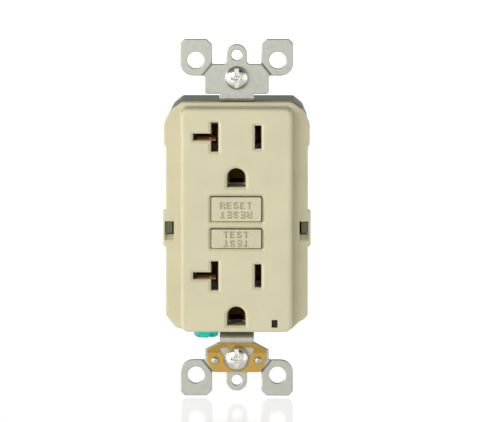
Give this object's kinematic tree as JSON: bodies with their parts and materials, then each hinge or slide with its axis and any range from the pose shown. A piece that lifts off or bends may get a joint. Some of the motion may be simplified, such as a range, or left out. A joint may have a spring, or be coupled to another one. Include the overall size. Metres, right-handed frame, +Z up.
{
  "type": "gfci outlet",
  "caption": "Duplex ground-fault receptacle: ivory face with reset and test buttons, charcoal body with side screw terminals, and a zinc-plated steel strap with plaster ears.",
  "frame": {"origin": "middle of the mounting strap's back plane, which bears on the wall box", "axes": "+X right seen from the front, +Y back into the wall box, +Z up along the strap"},
  "size_m": [0.0438, 0.0321, 0.1062],
  "materials": {
    "ivory_cover": "moulded ivory thermoplastic, soft satin gloss",
    "ivory_buttons": "moulded ivory thermoplastic, satin",
    "charcoal_body": "moulded charcoal grey thermoplastic, fine spark texture",
    "natural_nylon": "natural nylon",
    "zinc_strap": "dull zinc plate, rolled and sheared edges",
    "bright_nickel": "bright nickel plate",
    "brass_terminals": "rolled brass, lightly tarnished",
    "bare_copper": "rolled copper alloy",
    "green_screw": "green-dyed plated steel, glossy",
    "steel_hardware": "plain steel",
    "fibre_retainer": "vulcanised fibre",
    "board_laminate": "solder-masked laminate",
    "black_resin": "moulded black resin",
    "blue_lacquer": "dipped lacquer",
    "tan_ceramic": "coated ceramic",
    "light_pipe_resin": "smoky clear resin over an unlit lamp"
  },
  "bodies": {
    "root": {"front_cover": "ivory_cover", "middle_separator": "natural_nylon", "back_body": "charcoal_body", "assembly_screw_1": "steel_hardware", "assembly_screw_2": "steel_hardware", "assembly_screw_3": "steel_hardware", "assembly_screw_4": "steel_hardware", "mounting_strap": "zinc_strap", "ground_clip": "brass_terminals", "clip_rivet_left": "bright_nickel", "clip_rivet_right": "bright_nickel", "screw_retainer_top": "fibre_retainer", "screw_retainer_bottom": "fibre_retainer", "ground_contact_upper": "brass_terminals", "ground_contact_lower": "brass_terminals", "reset_spring": "steel_hardware", "neutral_face_contact": "bare_copper", "hot_face_contact": "bare_copper", "neutral_load_terminal": "bright_nickel", "neutral_line_terminal": "bright_nickel", "hot_load_terminal": "brass_terminals", "hot_line_terminal": "brass_terminals", "solenoid_bobbin": "natural_nylon", "solenoid_coil": "bare_copper", "solenoid_frame": "zinc_strap", "plunger_spring": "steel_hardware", "circuit_board": "board_laminate", "sense_core_front": "black_resin", "sense_core_rear": "black_resin", "surge_varistor": "blue_lacquer", "filter_capacitor": "black_resin", "control_chip": "black_resin", "trip_thyristor": "black_resin", "test_resistor": "tan_ceramic", "light_pipe": "light_pipe_resin", "indicator_lamp": "light_pipe_resin"},
    "reset": {"reset_button": "ivory_buttons", "reset_pin": "steel_hardware"},
    "test": {"test_button": "ivory_buttons"},
    "blade": {"test_blade": "bare_copper"},
    "carriage": {"contact_carriage": "natural_nylon"},
    "latch": {"trip_latch": "steel_hardware"},
    "plunger": {"trip_plunger": "steel_hardware"},
    "neutral_arm": {"neutral_moving_arm": "bare_copper"},
    "hot_arm": {"hot_moving_arm": "bare_copper"},
    "box_screw_top": {"mounting_screw_top": "bright_nickel"},
    "box_screw_bottom": {"mounting_screw_bottom": "bright_nickel"},
    "earth_screw": {"ground_screw": "green_screw"},
    "neutral_load_clamp_body": {"neutral_load_clamp": "bright_nickel"},
    "neutral_load_screw_body": {"neutral_load_screw": "bright_nickel"},
    "neutral_line_clamp_body": {"neutral_line_clamp": "bright_nickel"},
    "neutral_line_screw_body": {"neutral_line_screw": "bright_nickel"},
    "hot_load_clamp_body": {"hot_load_clamp": "brass_terminals"},
    "hot_load_screw_body": {"hot_load_screw": "brass_terminals"},
    "hot_line_clamp_body": {"hot_line_clamp": "brass_terminals"},
    "hot_line_screw_body": {"hot_line_screw": "brass_terminals"}
  },
  "joints": [
    {"name": "reset_press", "type": "slide", "parent": "root", "child": "reset", "axis": [0, 1, 0], "range_m": [0, 0.002], "stiffness_N_per_m": 600, "springref_m": -0.004, "deforming": ["reset_spring"]},
    {"name": "carriage_travel", "type": "slide", "parent": "root", "child": "carriage", "axis": [0, 1, 0], "range_m": [0, 0.002]},
    {"name": "neutral_arm_swing", "type": "hinge", "parent": "root", "child": "neutral_arm", "pos_m": [-0.0105, 0.0155, -0.0135], "axis": [-1, 0, 0], "range_deg": [0, 6.8]},
    {"name": "hot_arm_swing", "type": "hinge", "parent": "root", "child": "hot_arm", "pos_m": [0.0105, 0.0155, -0.0135], "axis": [-1, 0, 0], "range_deg": [0, 6.8]},
    {"name": "test_press", "type": "slide", "parent": "root", "child": "test", "axis": [0, 1, 0], "range_m": [0, 0.0012], "stiffness_N_per_m": 500, "springref_m": -0.003},
    {"name": "test_blade_bend", "type": "hinge", "parent": "root", "child": "blade", "pos_m": [0.0075, 0.0056, -0.0054], "axis": [0, 0, -1], "range_deg": [0, 9.3]},
    {"name": "plunger_pull", "type": "slide", "parent": "root", "child": "plunger", "axis": [0, 0, 1], "range_m": [0, 0.0015], "stiffness_N_per_m": 300, "springref_m": -0.003, "deforming": ["plunger_spring"]},
    {"name": "latch_slide", "type": "slide", "parent": "carriage", "child": "latch", "axis": [0, 0, 1], "range_m": [0, 0.0015]},
    {"name": "box_screw_top_turn", "type": "hinge", "parent": "root", "child": "box_screw_top", "pos_m": [0, 0, 0.04167], "axis": [0, 1, 0], "continuous": true},
    {"name": "box_screw_bottom_turn", "type": "hinge", "parent": "root", "child": "box_screw_bottom", "pos_m": [0, 0, -0.04167], "axis": [0, 1, 0], "continuous": true},
    {"name": "earth_screw_turn", "type": "hinge", "parent": "root", "child": "earth_screw", "pos_m": [-0.00925, 0.007, -0.0343], "axis": [0, 0, -1], "range_deg": [0, 900]},
    {"name": "neutral_load_clamp_slide", "type": "slide", "parent": "root", "child": "neutral_load_clamp_body", "axis": [1, 0, 0], "range_m": [0, 0.0011]},
    {"name": "neutral_load_screw_turn", "type": "hinge", "parent": "neutral_load_clamp_body", "child": "neutral_load_screw_body", "pos_m": [-0.0185, 0.011, 0.014], "axis": [1, 0, 0], "range_deg": [0, 498.8]},
    {"name": "neutral_line_clamp_slide", "type": "slide", "parent": "root", "child": "neutral_line_clamp_body", "axis": [1, 0, 0], "range_m": [0, 0.0011]},
    {"name": "neutral_line_screw_turn", "type": "hinge", "parent": "neutral_line_clamp_body", "child": "neutral_line_screw_body", "pos_m": [-0.0185, 0.011, -0.014], "axis": [1, 0, 0], "range_deg": [0, 498.8]},
    {"name": "hot_load_clamp_slide", "type": "slide", "parent": "root", "child": "hot_load_clamp_body", "axis": [-1, 0, 0], "range_m": [0, 0.0011]},
    {"name": "hot_load_screw_turn", "type": "hinge", "parent": "hot_load_clamp_body", "child": "hot_load_screw_body", "pos_m": [0.0185, 0.011, 0.014], "axis": [-1, 0, 0], "range_deg": [0, 498.8]},
    {"name": "hot_line_clamp_slide", "type": "slide", "parent": "root", "child": "hot_line_clamp_body", "axis": [-1, 0, 0], "range_m": [0, 0.0011]},
    {"name": "hot_line_screw_turn", "type": "hinge", "parent": "hot_line_clamp_body", "child": "hot_line_screw_body", "pos_m": [0.0185, 0.011, -0.014], "axis": [-1, 0, 0], "range_deg": [0, 498.8]}
  ],
  "couplings": [
    {"joint": "carriage_travel", "follows": "reset_press", "ratio": 1},
    {"joint": "neutral_arm_swing", "follows": "reset_press", "rad_per_m": 58.82},
    {"joint": "hot_arm_swing", "follows": "reset_press", "rad_per_m": 58.82},
    {"joint": "test_blade_bend", "follows": "test_press", "rad_per_m": 133.3},
    {"joint": "latch_slide", "follows": "plunger_pull", "ratio": 1},
    {"joint": "neutral_load_screw_turn", "follows": "neutral_load_clamp_slide", "rad_per_m": 7913.3},
    {"joint": "neutral_line_screw_turn", "follows": "neutral_line_clamp_slide", "rad_per_m": 7913.3},
    {"joint": "hot_load_screw_turn", "follows": "hot_load_clamp_slide", "rad_per_m": 7913.3},
    {"joint": "hot_line_screw_turn", "follows": "hot_line_clamp_slide", "rad_per_m": 7913.3}
  ]
}
